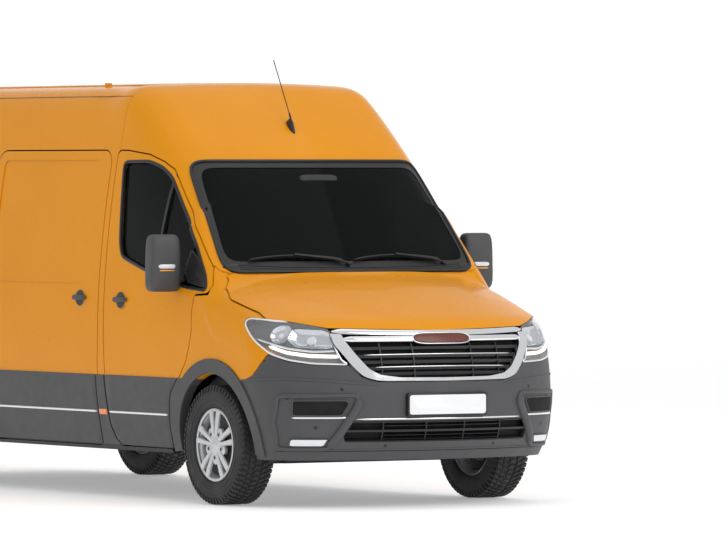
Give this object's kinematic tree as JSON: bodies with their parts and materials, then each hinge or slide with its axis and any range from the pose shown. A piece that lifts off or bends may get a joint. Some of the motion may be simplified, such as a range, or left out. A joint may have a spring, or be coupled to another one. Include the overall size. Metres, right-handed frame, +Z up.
{
  "type": "panel van",
  "caption": "High-roof panel van with opening cab doors, bonnet and rear doors, steered front wheels, glazed cab and an empty load space.",
  "frame": {"origin": "on the ground under the middle of the overall length and width", "axes": "+Z up, -Y towards the nose, +X towards the van's left side"},
  "size_m": [2.39, 5.91, 2.6103],
  "materials": {
    "body_paint": "gloss orange enamel",
    "grey_plastic": "dark grey grained plastic",
    "black_plastic": "satin black plastic",
    "chrome_trim": "bright",
    "window_glass": "clear tinted",
    "lamp_glass": "clear lens",
    "red_lens": "gloss red",
    "tyre_rubber": "block tread rubber",
    "wheel_silver": "silver wheel paint",
    "chassis_steel": "black underbody coating",
    "cast_metal": "bare casting",
    "exhaust_steel": "dull",
    "seat_cloth": "dark woven cloth",
    "interior_plastic": "dark grained",
    "floor_coating": "grey primer"
  },
  "bodies": {
    "root": {"floor": "floor_coating", "underframe": "chassis_steel", "bulkhead": "floor_coating", "side_left": "body_paint", "side_right": "body_paint", "sliding_door": "body_paint", "roof": "body_paint", "cab_frame": "body_paint", "front_wings": "body_paint", "firewall": "chassis_steel", "wheel_liners": "black_plastic", "windscreen": "window_glass", "front_bumper": "grey_plastic", "grille": "chrome_trim", "headlamps": "lamp_glass", "rear_bumper": "grey_plastic", "tail_lamps": "red_lens", "aerial": "black_plastic", "dashboard": "interior_plastic", "steering_wheel": "interior_plastic", "seat_bases": "interior_plastic", "seat_cushions": "seat_cloth", "seat_backs": "seat_cloth", "engine_block": "cast_metal", "front_suspension": "chassis_steel", "rear_axle": "chassis_steel", "fuel_tank": "black_plastic", "exhaust": "exhaust_steel"},
    "front_door_right_body": {"front_door_right": "body_paint", "door_glass_right": "window_glass", "mirror_right": "grey_plastic"},
    "front_door_left_body": {"front_door_left": "body_paint", "door_glass_left": "window_glass", "mirror_left": "grey_plastic"},
    "rear_door_left_body": {"rear_door_left": "body_paint"},
    "rear_door_right_body": {"rear_door_right": "body_paint"},
    "bonnet_body": {"bonnet": "body_paint"},
    "left_knuckle": {"knuckle_left": "cast_metal"},
    "right_knuckle": {"knuckle_right": "cast_metal"},
    "front_left_roller": {"front_left_tyre": "tyre_rubber", "front_left_wheel": "wheel_silver"},
    "front_right_roller": {"front_right_tyre": "tyre_rubber", "front_right_wheel": "wheel_silver"},
    "rear_left_roller": {"rear_left_tyre": "tyre_rubber", "rear_left_wheel": "wheel_silver"},
    "rear_right_roller": {"rear_right_tyre": "tyre_rubber", "rear_right_wheel": "wheel_silver"}
  },
  "joints": [
    {"name": "front_left_steer", "type": "hinge", "parent": "root", "child": "left_knuckle", "pos_m": [0.82, -1.965, 0.35], "axis": [0, 0, 1], "range_deg": [-35, 35]},
    {"name": "front_right_steer", "type": "hinge", "parent": "root", "child": "right_knuckle", "pos_m": [-0.82, -1.965, 0.35], "axis": [0, 0, 1], "range_deg": [-35, 35]},
    {"name": "front_left_spin", "type": "hinge", "parent": "left_knuckle", "child": "front_left_roller", "pos_m": [0.88, -1.965, 0.35], "axis": [1, 0, 0], "continuous": true},
    {"name": "front_right_spin", "type": "hinge", "parent": "right_knuckle", "child": "front_right_roller", "pos_m": [-0.88, -1.965, 0.35], "axis": [1, 0, 0], "continuous": true},
    {"name": "rear_left_spin", "type": "hinge", "parent": "root", "child": "rear_left_roller", "pos_m": [0.88, 1.935, 0.35], "axis": [1, 0, 0], "continuous": true},
    {"name": "rear_right_spin", "type": "hinge", "parent": "root", "child": "rear_right_roller", "pos_m": [-0.88, 1.935, 0.35], "axis": [1, 0, 0], "continuous": true},
    {"name": "front_door_left_swing", "type": "hinge", "parent": "root", "child": "front_door_left_body", "pos_m": [0.965, -1.88, 0.9], "axis": [0, 0, -1], "range_deg": [0, 70]},
    {"name": "rear_door_left_swing", "type": "hinge", "parent": "root", "child": "rear_door_left_body", "pos_m": [0.915, 2.916, 1.2], "axis": [0, 0, -1], "range_deg": [0, 180]},
    {"name": "front_door_right_swing", "type": "hinge", "parent": "root", "child": "front_door_right_body", "pos_m": [-0.965, -1.88, 0.9], "axis": [0, 0, 1], "range_deg": [0, 70]},
    {"name": "rear_door_right_swing", "type": "hinge", "parent": "root", "child": "rear_door_right_body", "pos_m": [-0.915, 2.916, 1.2], "axis": [0, 0, 1], "range_deg": [0, 180]},
    {"name": "bonnet_lift", "type": "hinge", "parent": "root", "child": "bonnet_body", "pos_m": [0, -1.95, 1.355], "axis": [-1, 0, 0], "range_deg": [0, 60]}
  ],
  "couplings": [
    {"joint": "front_right_steer", "follows": "front_left_steer", "ratio": 1}
  ]
}
